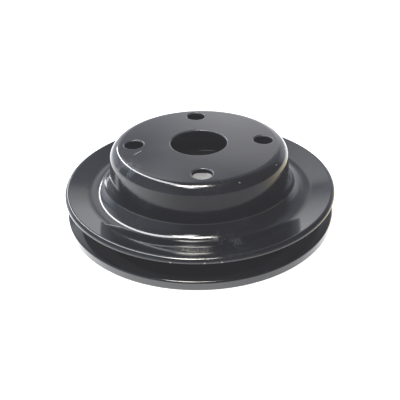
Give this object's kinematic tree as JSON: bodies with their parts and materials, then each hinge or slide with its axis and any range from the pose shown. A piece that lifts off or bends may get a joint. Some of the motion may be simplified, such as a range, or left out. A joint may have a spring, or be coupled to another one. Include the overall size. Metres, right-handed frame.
{
  "type": "v belt pulley",
  "caption": "Pressed-steel V belt pulley: a deep hub cup with a pilot hole and bolt holes in its face, and a single belt groove round its rear flange.",
  "frame": {"origin": "on the pulley's axis, in the plane of the rear rim it stands on", "axes": "+Z along the axis of rotation, from the rear rim towards the mounting face; a bolt hole lies on +X and one on +Y"},
  "size_m": [0.162, 0.162, 0.0435],
  "materials": {
    "gloss_black_paint": "semi-gloss black paint over pressed steel, lightly scuffed",
    "weld_steel": "bare weld metal"
  },
  "bodies": {
    "root": {"hub_cup": "gloss_black_paint", "rear_flange": "gloss_black_paint", "spot_weld_1": "weld_steel", "spot_weld_2": "weld_steel", "spot_weld_3": "weld_steel", "spot_weld_4": "weld_steel", "spot_weld_5": "weld_steel", "spot_weld_6": "weld_steel", "spot_weld_7": "weld_steel", "spot_weld_8": "weld_steel"}
  },
  "joints": []
}
